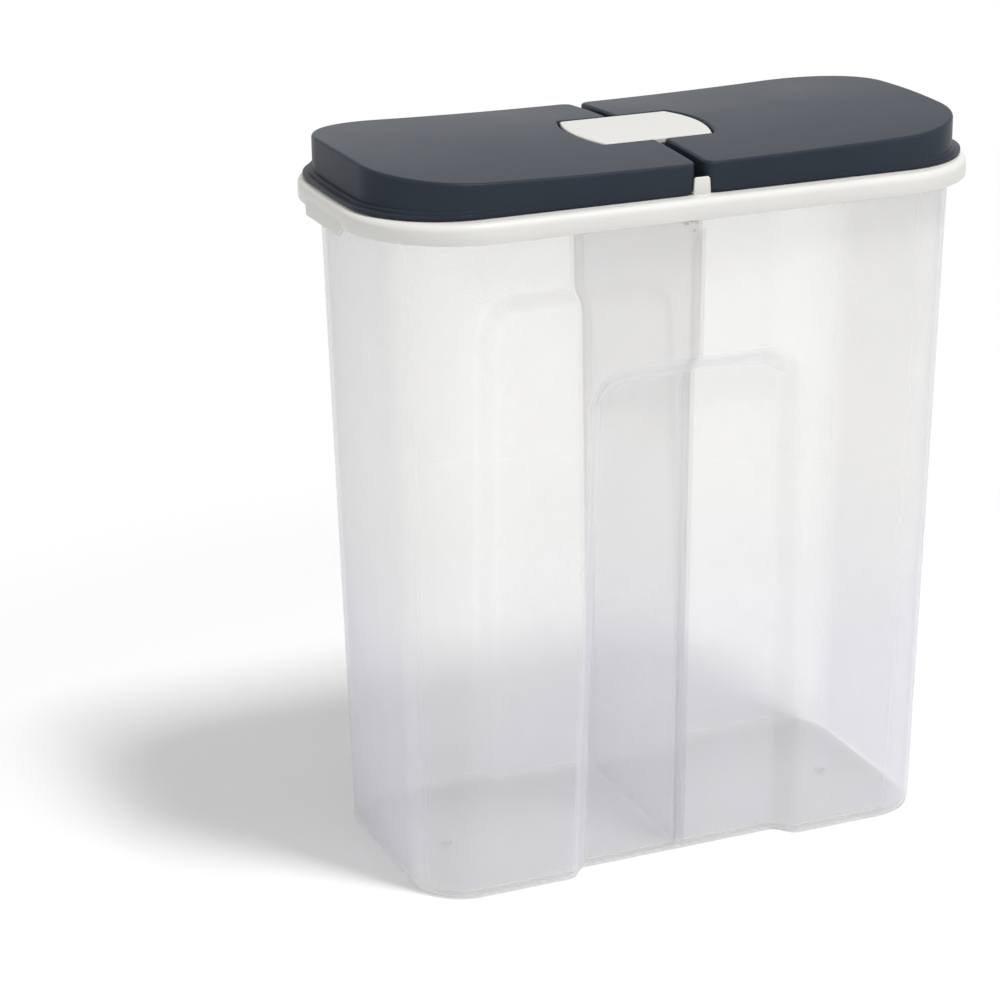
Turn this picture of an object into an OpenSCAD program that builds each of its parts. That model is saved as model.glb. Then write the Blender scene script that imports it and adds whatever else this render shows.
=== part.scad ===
// Two-compartment cereal keeper with two flip-up pouring flaps.
// Millimetres, +Z up, origin at the middle of the floor; the flaps open to -X and +X, the front is -Y.

/* [Tub] */
// Length of the tub where it meets the table
base_length = 216; // [208:1:222]
// Width of the tub where it meets the table
base_width = 102; // [98:1:106]
// Plan radius of the tub's corners at the table
base_corner = 22; // [18:1:26]
// How far every wall leans outwards between table and rim
wall_lean = 6.3; // [5:0.1:6.8]
// Height of the tub with its rim
tub_height = 265; // [245:1:290]
// Wall thickness of the tub
tub_wall = 1.6; // [1.2:0.1:2.2]
// Thickness of the tub's floor
floor_thickness = 2; // [1.6:0.1:3]
// Radius between floor and walls, outside
foot_radius = 4; // [3:0.5:6]

/* [Hand grips] */
// Width of each grip recess at the table
grip_width_low = 99; // [90:1:104]
// Width of each grip recess where its top corners begin
grip_width_high = 89; // [80:1:96]
// Height of each grip recess
grip_height = 206; // [180:1:215]
// How deep each recess goes in
grip_depth = 7; // [4:0.5:8]
// Width of the soft shoulder round each recess
grip_shoulder = 9; // [6:0.5:12]
// Radius of the recess's top corners
grip_corner = 17; // [12:1:22]

/* [Divider] */
// Thickness of the loose wall between the compartments
divider_thickness = 1.6; // [1.2:0.1:2]
// Height of the divider's top edge
divider_top = 258.6; // [240:0.2:258.6]
// Thickness of the guide ribs that hold the divider
guide_rib = 1.2; // [1:0.1:1.6]

/* [Lid frame] */
// Length of the lid frame over its skirt
lid_length = 250; // [248:1:254]
// Width of the lid frame over its skirt
lid_width = 126; // [125:1:130]
// Plan radius of the lid frame's corners
lid_corner = 43; // [38:1:46]
// Height of the skirt with the deck
skirt_height = 7.6; // [7:0.1:9]
// Radius along the top of the skirt
skirt_round = 2.8; // [1.5:0.1:3]
// Thickness of the skirt
skirt_wall = 1.8; // [1.4:0.1:2]
// Thickness of the deck
deck_thickness = 2; // [1.6:0.1:2.4]
// Width of the lift tab on each short end
tab_width = 40; // [30:1:46]
// How far each lift tab hangs below the skirt
tab_drop = 3.2; // [2:0.1:4]

/* [Pouring openings] */
// Nearest point of an opening to the middle of the lid
mouth_near = 32; // [31:0.5:36]
// Farthest point of an opening from the middle of the lid
mouth_far = 106; // [98:0.5:107]
// Width of an opening
mouth_width = 92; // [80:1:94]
// Height of the upright rim round an opening, above the deck
mouth_rim_height = 4; // [3:0.1:4.5]

/* [Flaps] */
// Farthest point of a flap's wall from the middle of the lid
flap_reach = 119.6; // [118:0.1:120]
// Width of a flap
flap_width = 113.6; // [112:0.1:114]
// Plan radius of a flap's outer corners
flap_corner = 36; // [30:1:40]
// Plan radius of a flap's corners at the gap between the flaps
flap_gap_corner = 4.5; // [4:0.1:5]
// Gap between the two flaps
flap_gap = 3.7; // [3.4:0.1:4]
// Height of a flap's wall at the gap
flap_height = 11.1; // [10.8:0.1:11.4]
// How much a flap's top rises from its sides to its middle
flap_crown = 2.1; // [0:0.1:2.2]
// How much a flap's top rises from the gap to its outer end
flap_rise = 2.8; // [0:0.1:4]
// Thickness of a flap
flap_wall = 1.8; // [1.4:0.1:2.2]
// How far the finger lip stands out at the flap's outer end
lip_reach = 4; // [3:0.1:4.4]
// Angle of an opened flap
flap_open = 0; // [0:1:88]

/* [Hinge] */
// Distance of each hinge axis from the middle of the lid
hinge_offset = 5; // [4.9:0.1:5.2]
// Height of the hinge axes above the deck
hinge_height = 8.5; // [8.4:0.1:8.7]
// Diameter of a hinge pin
pin_diameter = 4; // [3.6:0.1:4]
// Radial clearance of a hinge pin in its cradle
pin_clearance = 0.08; // [0.05:0.01:0.1]

/* [Hinge cover] */
// Length of the hinge cover between the tips of its curved ends
cover_length = 52; // [48:1:53]
// Width of the hinge cover
cover_width = 41; // [40:0.5:42]
// How far each end of the cover is curved
cover_bulge = 4.2; // [3:0.1:5]

/* [Hidden] */

$fn = 64;
EPS = 0.01;

// Tub
base_a = base_length / 2;
base_b = base_width / 2;
lean = wall_lean / tub_height;                  // outward lean per millimetre of height
rim_thickness = 2.6;
rim_low = tub_height - rim_thickness;
rim_play = 0.8;                                 // gap between the tub's rim and the lid's skirt
corner_steps = 8;
rib_depth = 3.2;                                // how far the guide ribs stand in from the wall
rib_top = 252;

// Lid frame
deck_low = tub_height;
deck_top = deck_low + deck_thickness;
skirt_low = deck_top - skirt_height;
tab_slant = 3;
seal_play = 0.35;                               // gap between the sealing wall and the tub's inside
seal_wall = 1.4;
seal_drop = 6;
web_drop = 11;                                  // the two webs that straddle the divider's top edge
web_wall = 1.4;
web_play = 0.6;
post_width = 7;
post_depth = 1.2;
post_height = 6.4;

// Pouring openings
mouth_near_corner = 9;
mouth_far_corner = 24;
mouth_rim = 1.6;

// Flaps
flap_low = deck_top + 0.4;
flap_round = 1.2;                               // radius along the top edge
toe_round = 1.5;                                // radius under the end at the gap, clears the deck as it turns
cut_side_play = 0.45;
cut_end_play = 1.0;
plug_play = 0.8;
plug_wall = 1.5;
plug_low = deck_top - 1;
cut_wall_low = flap_low + 1.2;
cut_wall_high = flap_low + 12.2;                // buried in the flap's top
end_bow = 0.4;                                  // how much the outer end is bowed out
lip_step = 1.3;                                 // height of the lip's upper step above its rounded lower one
lip_slope = 0.15;                               // each step's upper face falls outwards by this

// Hinge
axis_z = deck_top + hinge_height;
pin_r = pin_diameter / 2;
cradle_half = 10.5;
cradle_wall = 2.8;
cradle_end = 2;
cheek_out = cover_width / 2 - 0.7;
cradle_top = axis_z + pin_r + 0.7;
cover_low = cradle_top;
pin_inner = cheek_out - cradle_wall - 0.4;
cover_edge = 0.5;
plug_skin = 1.4;                                // walls of the cover's plug

// Points along a quarter circle about (cx, cy), starting in the direction from.
function corner_arc(cx, cy, r, from, steps) =
    [for (i = [0:steps]) let (t = from + 90 * i / steps) [cx + r * cos(t), cy + r * sin(t)]];

// Smooth 0 to 1 step.
function ease(t) = let (u = max(0, min(1, t))) u * u * (3 - 2 * u);

// Height of a flap's outer surface: crowned across, rising along.
function top_z(x, y) =
    flap_low + flap_height
    + flap_crown * (1 - pow(2 * y / flap_width, 2))
    + flap_rise * pow(x / flap_reach, 2);

// Half width of a grip recess at height z: a slight taper, then the rounded top corners.
function grip_half(z) =
    let (arch = grip_height - grip_corner,
         taper = grip_width_low / 2 + (grip_width_high - grip_width_low) / 2 * min(z, arch) / arch,
         up = max(0, min(z, grip_height) - arch))
    taper - grip_corner + sqrt(max(0, grip_corner * grip_corner - up * up));

// Depth of a grip recess at (x, z): full in the middle, eased to nothing at its edge.
function grip_in(x, z) =
    let (arch = grip_height - grip_corner,
         cx = max(0, abs(x) - (grip_width_high / 2 - grip_corner)),
         cz = max(0, z - arch),
         to_edge = z < arch ? grip_half(z) - abs(x) : grip_corner - sqrt(cx * cx + cz * cz))
    z > grip_height ? 0 : grip_depth * ease(to_edge / grip_shoulder);

// Places along a long side where a section has points: close together on the recess's shoulders.
function side_stations(z) =
    let (h = max(grip_half(z), grip_width_high / 2 - grip_corner))
    [for (k = [0:5]) h - k * grip_shoulder / 5];

// Half of a long side of a section, from +X to x = 0; rib is how far the guide rib stands in.
function half_side(z, half, rib) = concat(
    [for (x = side_stations(z)) [x, half - grip_in(x, z)]],
    let (y = half - grip_in(0, z), in = divider_thickness / 2, out = in + guide_rib, u = rib > 0 ? 0 : 0.3)
        [[out + 0.5, y], [out - u, y - rib], [in + u, y - rib], [in, y]]);

// The same list of points seen in a mirror at x = 0 or y = 0 and read backwards.
function mirrored_x(points) = [for (k = [len(points) - 1:-1:0]) [-points[k].x, points[k].y]];
function mirrored_y(points) = [for (k = [len(points) - 1:-1:0]) [points[k].x, -points[k].y]];

// Closed plan section from its quarter corner and half side.
function whole_section(corner, side) =
    let (back = concat(corner, side, mirrored_x(side), mirrored_x(corner)))
    concat(back, mirrored_y(back));

// Plan section of the tub at height z, pulled in from the outside by inset and pull.
function tub_section(z, inset, pull, rib) =
    let (r = base_corner + lean * z - inset - pull,
         cx = base_a - base_corner,
         cy = base_b - base_corner)
    whole_section(corner_arc(cx, cy, r, 0, corner_steps), half_side(z, cy + r, rib));

// Plan section of the rim's outer edge.
function rim_section() =
    let (a = lid_length / 2 - skirt_wall - rim_play,
         b = lid_width / 2 - skirt_wall - rim_play,
         r = lid_corner - skirt_wall - rim_play)
    whole_section(corner_arc(a - r, b - r, r, 0, corner_steps), half_side(tub_height, b, 0));

// Heights of the tub's sections above its rounded foot: close together where the recess closes.
arch_levels = [for (k = [0:6]) grip_height - grip_corner + grip_corner * sin(90 * k / 6)];

// Lays a plan section at height z.
function at(section, z) = [for (p = section) [p.x, p.y, z]];

// Closed solid through a stack of equal-count sections of 3D points, fanned shut at both ends.
module loft(start, rings, finish) {
    n = len(rings[0]);
    last = (len(rings) - 1) * n;
    points = concat([for (ring = rings, p = ring) p], [start, finish]);
    sides = [for (a = [0:n:last - n], i = [0:n - 1]) let (j = (i + 1) % n, b = a + n)
        each [[a + i, b + j, a + j], [a + i, b + i, b + j]]];
    bottom = [for (i = [0:n - 1]) [last + n, i, (i + 1) % n]];
    top = [for (i = [0:n - 1]) [last + i, last + n + 1, last + (i + 1) % n]];
    polyhedron(points, concat(sides, bottom, top), convexity = 6);
}

// Rounded rectangle of exact arcs, centred.
module rounded_rect(length, width, r) {
    square([length - 2 * r, width], center = true);
    square([length, width - 2 * r], center = true);
    for (sx = [-1, 1], sy = [-1, 1])
        translate([sx * (length / 2 - r), sy * (width / 2 - r)]) circle(r);
}

// Slab on z = 0 whose upper outside edge is rounded by e.
module soft_slab(length, width, r, height, e) {
    linear_extrude(height - e) rounded_rect(length, width, r);
    linear_extrude(height) rounded_rect(length - 2 * e, width - 2 * e, r - e);
    for (sx = [-1, 1], sy = [-1, 1])
        translate([sx * (length / 2 - r), sy * (width / 2 - r), height - e])
            rotate_extrude() translate([r - e, 0]) intersection() {
                circle(e);
                square(2 * e);
            }
    for (s = [-1, 1]) {
        translate([0, s * (width / 2 - e), height - e])
            rotate([0, 90, 0]) cylinder(r = e, h = length - 2 * r, center = true);
        translate([s * (length / 2 - e), 0, height - e])
            rotate([90, 0, 0]) cylinder(r = e, h = width - 2 * r, center = true);
    }
}

// Plan of the loose divider's edge against the tub's inside, in the plane x = 0.
module divider_profile() {
    half0 = base_b - tub_wall;
    levels = concat([floor_thickness + foot_radius],
        [for (k = [0:8]) grip_height - grip_shoulder * (1 - k / 8)], [divider_top]);
    foot = half0 - grip_depth - foot_radius;
    function edge(z) = half0 + lean * z - grip_in(0, z);
    polygon(concat(
        [[-foot, floor_thickness], [foot, floor_thickness]],
        [for (z = levels) [edge(z), z]],
        [for (k = [len(levels) - 1:-1:0]) [-edge(levels[k]), levels[k]]]));
}

// One thin shell: up the outside, over the rim, down the inside and across the floor.
// The guide ribs stand on the rounded foot and end below the lid's sealing wall.
module tub() color([0.93, 0.94, 0.95, 0.45]) {
    foot_in = foot_radius - 1;
    outside = concat(
        [for (k = [0:3]) let (t = 90 * k / 4, z = foot_radius * (1 - cos(t)))
            at(tub_section(z, 0, foot_radius * (1 - sin(t)), 0), z)],
        [for (z = concat([foot_radius, grip_height / 2], arch_levels, [rim_low])) at(tub_section(z, 0, 0, 0), z)]);
    rim = [at(rim_section(), rim_low), at(rim_section(), tub_height)];
    inside = concat(
        [for (z = [tub_height, rib_top + 2]) at(tub_section(z, tub_wall, 0, 0), z)],
        [for (z = concat([rib_top], [for (k = [len(arch_levels) - 1:-1:0]) arch_levels[k]], [grip_height / 2]))
            at(tub_section(z, tub_wall, 0, rib_depth), z)],
        [for (k = [4:-1:0]) let (t = 90 * k / 4, z = floor_thickness + foot_in * (1 - cos(t)))
            at(tub_section(z, tub_wall, foot_in * (1 - sin(t)), k == 4 ? rib_depth : 0), z)]);
    loft([0, 0, 0], concat(outside, rim, inside), [0, 0, floor_thickness]);
}

module divider() color([0.90, 0.91, 0.94, 0.5])
    rotate([90, 0, 90])
        translate([0, 0, -divider_thickness / 2])
            linear_extrude(divider_thickness) divider_profile();

// Outline of one pouring opening, grown outwards by grow.
module mouth_outline(grow) {
    rn = mouth_near_corner + grow;
    rf = mouth_far_corner + grow;
    near = mouth_near - grow;
    far = mouth_far + grow;
    half = mouth_width / 2 + grow;
    for (s = [-1, 1]) {
        translate([near + rn, s * (half - rn)]) circle(rn);
        translate([far - rf, s * (half - rf)]) circle(rf);
    }
    polygon([[near, -half + rn], [near + rn, -half], [far - rf, -half], [far, -half + rf],
             [far, half - rf], [far - rf, half], [near + rn, half], [near, half - rn]]);
}

// The same outline as a list of points.
function mouth_points(grow) =
    let (rn = mouth_near_corner + grow,
         rf = mouth_far_corner + grow,
         near = mouth_near - grow + rn,
         far = mouth_far + grow - rf,
         half = mouth_width / 2 + grow,
         back = concat(
             [[far + rf, 0.4 * (half - rf)]],
             corner_arc(far, half - rf, rf, 0, 6),
             [[(near + far) / 2, half]],
             corner_arc(near, half - rn, rn, 90, 4),
             [[near - rn, 0.4 * (half - rn)]]))
    concat(back, mirrored_y(back));

// Plan of the hinge cover: straight sides and curved ends, grown by side and end.
module cover_outline(side, end) {
    half_l = cover_length / 2 + end;
    half_w = cover_width / 2 + side;
    chord = cover_width / 2;
    r = (chord * chord + cover_bulge * cover_bulge) / (2 * cover_bulge);
    intersection() {
        translate([half_l - r, 0]) circle(r, $fn = 160);
        translate([r - half_l, 0]) circle(r, $fn = 160);
        square([2 * half_l, 2 * half_w], center = true);
    }
}

// Lift tab: the skirt reaches lower in the middle of a short end.
module lift_tab() {
    outer = lid_length / 2;
    low = skirt_low - tab_drop;
    translate([outer - skirt_wall, 0, 0]) rotate([90, 0, 90])
        linear_extrude(skirt_wall)
            polygon([[-tab_width / 2 - tab_slant, skirt_low + 1], [-tab_width / 2, low],
                     [tab_width / 2, low], [tab_width / 2 + tab_slant, skirt_low + 1]]);
    translate([outer, 0, 0]) rotate([90, 0, 0])
        linear_extrude(tab_width - 4, center = true)
            polygon([[-1, low], [0.9, low], [0, skirt_low + 3], [-1, skirt_low + 3]]);
}

// Upright box with four open cradles for the flaps' pins; the hinge cover closes it.
module hinge_cradle() {
    inner_half = cradle_half - cradle_end;
    difference() {
        translate([-cradle_half, -cheek_out, deck_top - EPS])
            cube([2 * cradle_half, 2 * cheek_out, cradle_top - deck_top + EPS]);
        translate([-inner_half, -cheek_out + cradle_wall, deck_top])
            cube([2 * inner_half, 2 * (cheek_out - cradle_wall), cradle_top]);
        for (s = [-1, 1]) {
            translate([s * hinge_offset, 0, axis_z]) {
                rotate([90, 0, 0]) cylinder(r = pin_r + pin_clearance, h = 2 * cover_width, center = true);
                translate([-pin_r - pin_clearance, -cover_width, 0])
                    cube([2 * (pin_r + pin_clearance), 2 * cover_width, cradle_top]);
            }
        }
    }
}

// Thin upright web in the notch between the flaps' rounded corners.
module gap_post() {
    face = flap_width / 2;
    rise = deck_top - EPS;
    translate([0, -face + post_depth, rise]) rotate([90, 0, 0])
        linear_extrude(post_depth)
            polygon([[-post_width / 2, 0], [post_width / 2, 0],
                     [post_width / 2 - 0.4, post_height], [-post_width / 2 + 0.4, post_height]]);
    translate([-0.6, -face + post_depth - EPS, rise]) rotate([90, 0, 90])
        linear_extrude(1.2) polygon([[0, 0], [3.5, 0], [0, 4]]);
}

module lid_frame() color("ivory") {
    seal_l = 2 * (base_a + lean * (deck_low - seal_drop) - tub_wall - seal_play);
    seal_w = 2 * (base_b + lean * (deck_low - seal_drop) - tub_wall - seal_play);
    seal_r = base_corner + wall_lean - tub_wall - seal_play;
    difference() {
        union() {
            translate([0, 0, skirt_low]) soft_slab(lid_length, lid_width, lid_corner, skirt_height, skirt_round);
            translate([0, 0, deck_top - EPS]) linear_extrude(mouth_rim_height + EPS) {
                mouth_outline(mouth_rim);
                mirror([1, 0]) mouth_outline(mouth_rim);
            }
        }
        translate([0, 0, skirt_low - 1])
            linear_extrude(deck_low - skirt_low + 1)
                rounded_rect(lid_length - 2 * skirt_wall, lid_width - 2 * skirt_wall, lid_corner - skirt_wall);
        translate([0, 0, skirt_low]) linear_extrude(2 * skirt_height) {
            mouth_outline(0);
            mirror([1, 0]) mouth_outline(0);
        }
    }
    translate([0, 0, deck_low - seal_drop]) linear_extrude(seal_drop + EPS) difference() {
        rounded_rect(seal_l, seal_w, seal_r);
        rounded_rect(seal_l - 2 * seal_wall, seal_w - 2 * seal_wall, seal_r - seal_wall);
    }
    for (s = [-1, 1])
        translate([s * (divider_thickness / 2 + web_play + web_wall / 2), 0, deck_low - web_drop / 2])
            cube([web_wall, seal_w - 12, web_drop + 2 * EPS], center = true);
    lift_tab();
    mirror([1, 0, 0]) lift_tab();
    hinge_cradle();
    gap_post();
    mirror([0, 1, 0]) gap_post();
}

// Side view of the hinge cover's plate: crowned like the flaps, with rounded edges.
module cover_profile(half, crowned) {
    function height(y) = (crowned ? top_z(0, y) : top_z(0, 0)) - cover_low;
    ys = [for (k = [-6:6]) (half - cover_edge) * k / 6];
    polygon(concat(
        [[-half, 0], [half, 0]],
        [for (k = [0:4]) let (t = 22.5 * k)
            [half - cover_edge * (1 - cos(t)), height(half) - cover_edge * (1 - sin(t))]],
        [for (k = [11:-1:1]) [ys[k], height(ys[k])]],
        [for (k = [4:-1:0]) let (t = 22.5 * k)
            [cover_edge * (1 - cos(t)) - half, height(half) - cover_edge * (1 - sin(t))]]));
}

module hinge_cover() color("whitesmoke") {
    plug_l = 2 * (cradle_half - cradle_end - 0.15);
    plug_w = 2 * (pin_inner - 0.6);
    foot = axis_z - 4;
    plug_h = cover_low - foot;
    translate([0, 0, cover_low]) intersection() {
        linear_extrude(10) cover_outline(0, 0);
        rotate([90, 0, 90]) linear_extrude(2 * cover_length, center = true)
            cover_profile(cover_width / 2, true);
        rotate([90, 0, 0]) linear_extrude(2 * cover_width, center = true)
            cover_profile(cover_length / 2, false);
    }
    translate([-plug_l / 2, -plug_w / 2, foot]) difference() {
        cube([plug_l, plug_w, plug_h + EPS]);
        translate([plug_skin, plug_skin, -EPS])
            cube([plug_l - 2 * plug_skin, plug_w - 2 * plug_skin, plug_h]);
    }
    for (sx = [-1, 1], sy = [-1, 1])
        translate([sx * hinge_offset - pin_r + 0.1, sy * (cheek_out - cradle_wall / 2) - cradle_wall / 2,
                   cover_low - 0.5])
            cube([2 * pin_r - 0.2, cradle_wall, 0.5 + EPS]);
}

// Plan of the right flap pulled in by inset; toe moves only the end at the gap.
function flap_section(inset, toe = 0) =
    let (near = flap_gap / 2 + inset + toe,
         far = flap_reach - inset,
         half = flap_width / 2 - inset,
         ro = max(2, flap_corner - inset),
         ri = max(0.6, flap_gap_corner - inset),
         arc = far - end_bow - ro,
         run = [for (t = [0.75, 0.5, 0.25]) near + ri + (arc - near - ri) * t],
         back = concat(
             [for (t = [0.33, 0.75]) [far - end_bow * t * t, t * (half - ro)]],
             corner_arc(arc, half - ro, ro, 0, corner_steps),
             [for (x = run) [x, half]],
             corner_arc(near + ri, half - ri, ri, 90, 3),
             [[near, 0.4 * (half - ri)]]))
    concat(back, mirrored_y(back));

// The same plan drawn out towards the finger lip, by reach at the outer end and nothing near the gap.
function lip_section(reach, toe) =
    let (start = flap_reach / 5)
    [for (p = flap_section(0, toe)) [p.x + reach * max(0, p.x - start) / (flap_reach - start), p.y]];

// Rings up a curved top: the rounded edge and then the crowned middle.
function top_rings(inset, drop, edge) = concat(
    [for (k = [0:edge > 0 ? 3 : 0]) let (t = 30 * k)
        [for (p = flap_section(inset + edge * (1 - cos(t))))
            [p.x, p.y, top_z(p.x, p.y) - drop - edge * (1 - sin(t))]]],
    [for (i = [12, 26, 40, 52])
        [for (p = flap_section(inset + i)) [p.x, p.y, top_z(p.x, p.y) - drop]]]);

function top_middle(drop) = let (x = (flap_gap / 2 + flap_reach) / 2) [x, 0, top_z(x, 0) - drop];

// Shell of a flap: down the inside, then up over the toe, the stepped lip, the edge and the crowned top.
module flap_shell() {
    under = top_rings(flap_wall, flap_wall, 0);
    inside = concat(
        [for (k = [len(under) - 1:-1:0]) under[k]],
        [at(flap_section(flap_wall), flap_low)]);
    toe = [for (k = [0:3]) let (t = 30 * k)
        at(lip_section(lip_reach, toe_round * (1 - sin(t))), flap_low + toe_round * (1 - cos(t)))];
    steps = [for (s = [[lip_reach / 2, 0], [lip_reach / 2, lip_step], [0, lip_step]])
        at(lip_section(s[0], 0), flap_low + toe_round + s[1] + lip_slope * (2 - 2 * s[0] / lip_reach))];
    loft(top_middle(flap_wall), concat(inside, toe, steps, top_rings(0, 0, flap_round)), top_middle(0));
}

// Rim under a flap that goes down inside the pouring opening, its top buried in the flap's top.
module plug_rim() {
    outer = mouth_points(-plug_play);
    inner = mouth_points(-plug_play - plug_wall);
    n = len(outer);
    points = concat(at(inner, plug_low), at(outer, plug_low),
        [for (p = outer) [p.x, p.y, top_z(p.x, p.y) - flap_wall / 2]],
        [for (p = inner) [p.x, p.y, top_z(p.x, p.y) - flap_wall / 2]]);
    polyhedron(points, [for (a = [0:3], i = [0:n - 1])
        let (j = (i + 1) % n, b = (a + 1) % 4)
        each [[a * n + i, b * n + j, a * n + j], [a * n + i, b * n + i, b * n + j]]], convexity = 6);
}

// Right-hand flap, closed.
module flap_solid() {
    cut_half = cover_width / 2 + cut_side_play;
    difference() {
        union() {
            flap_shell();
            translate([0, 0, cut_wall_low]) linear_extrude(cut_wall_high - cut_wall_low) intersection() {
                cover_outline(cut_side_play + flap_wall, cut_end_play + flap_wall);
                translate([flap_gap / 2 + flap_wall / 2, -cover_width]) square(2 * cover_width);
            }
        }
        translate([0, 0, deck_top]) linear_extrude(30) cover_outline(cut_side_play, cut_end_play);
    }
    plug_rim();
    for (s = [-1, 1])
        translate([hinge_offset, s * (pin_inner + cut_half + 1) / 2, axis_z])
            rotate([90, 0, 0]) cylinder(d = pin_diameter, h = cut_half + 1 - pin_inner, center = true);
}

// Turns the right-hand flap about its own hinge axis.
module swung(angle) {
    translate([hinge_offset, 0, axis_z]) rotate([0, -angle, 0]) translate([-hinge_offset, 0, -axis_z]) children();
}

module flap_right() color([0.24, 0.26, 0.29]) swung(flap_open) flap_solid();

module flap_left() color([0.24, 0.26, 0.29]) mirror([1, 0, 0]) swung(flap_open) flap_solid();

tub();
divider();
lid_frame();
hinge_cover();
flap_left();
flap_right();
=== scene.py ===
"""Dresses the two-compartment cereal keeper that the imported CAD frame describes.

All sizes are the real object's, in millimetres, in the frame of the CAD model: +Z is up, the
front is -Y, and the flaps' free ends point to -X and +X. Each class is one moulding of the object.
"""

import logging
import math
from collections.abc import Callable
from dataclasses import dataclass
from enum import Enum

import bmesh
import bpy
import numpy as np
from bpy.types import Material, Mesh, Node, NodeTree, Object
from mathutils import Matrix, Vector
from mathutils.geometry import delaunay_2d_cdt

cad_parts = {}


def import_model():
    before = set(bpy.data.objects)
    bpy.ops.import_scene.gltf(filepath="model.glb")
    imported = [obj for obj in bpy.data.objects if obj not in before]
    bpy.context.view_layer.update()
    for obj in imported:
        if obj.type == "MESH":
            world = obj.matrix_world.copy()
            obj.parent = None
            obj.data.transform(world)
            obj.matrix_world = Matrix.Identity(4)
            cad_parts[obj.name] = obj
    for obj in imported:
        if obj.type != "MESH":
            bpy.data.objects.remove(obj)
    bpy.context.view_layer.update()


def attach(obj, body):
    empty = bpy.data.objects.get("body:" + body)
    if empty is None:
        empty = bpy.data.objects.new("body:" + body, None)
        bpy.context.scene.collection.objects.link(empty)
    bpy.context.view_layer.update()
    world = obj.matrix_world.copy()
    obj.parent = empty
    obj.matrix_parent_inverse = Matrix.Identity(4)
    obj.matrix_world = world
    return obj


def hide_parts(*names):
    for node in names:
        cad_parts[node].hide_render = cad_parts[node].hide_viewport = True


MM = 0.001
POLYPROPYLENE_IOR = 1.49
LOG = logging.getLogger("cereal_keeper")
Plan = np.ndarray  # an outline of (x, y) rows in millimetres, anticlockwise
Ring = np.ndarray  # a loop of (x, y, z) rows in millimetres
Link = tuple[Node, str | int]  # a node and one of its outputs
Placing = Callable[[np.ndarray], np.ndarray]  # moves drawn rows to their place


# ---- Colour and materials ----


def linear(code: str) -> tuple[float, ...]:
    """Turns six sRGB hex digits into linear red, green and blue, with an alpha of 1."""
    parts = [int(code[i : i + 2], 16) / 255 for i in (0, 2, 4)]
    return (*(p / 12.92 if p <= 0.04045 else ((p + 0.055) / 1.055) ** 2.4 for p in parts), 1.0)


def add_node(tree: NodeTree, kind: str, settings: dict, links: dict[str | int, Link]) -> Node:
    """Adds one node with its settings and its incoming links.

    Args:
        tree: The tree that gets the node.
        kind: The node's type name.
        settings: Attribute names, or input names and numbers, with their values.
        links: Input names or numbers with what drives them.

    Returns:
        The new node.
    """
    node = tree.nodes.new(kind)
    for key, value in settings.items():
        if isinstance(key, str) and hasattr(node, key):
            setattr(node, key, value)
        else:
            node.inputs[key].default_value = value
    for key, (source, output) in links.items():
        tree.links.new(source.outputs[output], node.inputs[key])
    return node


def add_ramp(tree: NodeTree, source: Link, stops: list[tuple[float, tuple]]) -> Node:
    """Adds a colour ramp.

    Args:
        tree: The tree that gets the ramp.
        source: What drives it.
        stops: Positions with linear colours, in rising order.

    Returns:
        The ramp, whose output is Color.
    """
    node = add_node(tree, "ShaderNodeValToRGB", {}, {"Fac": source})
    band = node.color_ramp
    while len(band.elements) < len(stops):
        band.elements.new(0.5)
    for element, (place, colour) in zip(band.elements, stops):
        element.position = place
        element.color = colour
    return node


def add_range(
    tree: NodeTree, source: Link, span: tuple, result: tuple = (0.0, 1.0), eased: bool = False
) -> Node:
    """Adds a node that maps one range of values to another.

    Args:
        tree: The tree that gets the node.
        source: What drives it.
        span: The values at which the result begins and ends.
        result: The results there.
        eased: Whether the result leaves its ends smoothly.

    Returns:
        The node, whose output is Result.
    """
    settings = {"From Min": span[0], "From Max": span[1], "To Min": result[0], "To Max": result[1]}
    settings["interpolation_type"] = "SMOOTHSTEP" if eased else "LINEAR"
    return add_node(tree, "ShaderNodeMapRange", settings, {"Value": source})


def new_material(name: str) -> tuple[Material, NodeTree, Node]:
    """Makes an empty node material.

    Args:
        name: The material's name.

    Returns:
        The material, its tree and its output node.
    """
    material = bpy.data.materials.new(name)
    material.use_nodes = True
    tree = material.node_tree
    tree.nodes.clear()
    return material, tree, tree.nodes.new("ShaderNodeOutputMaterial")


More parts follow.
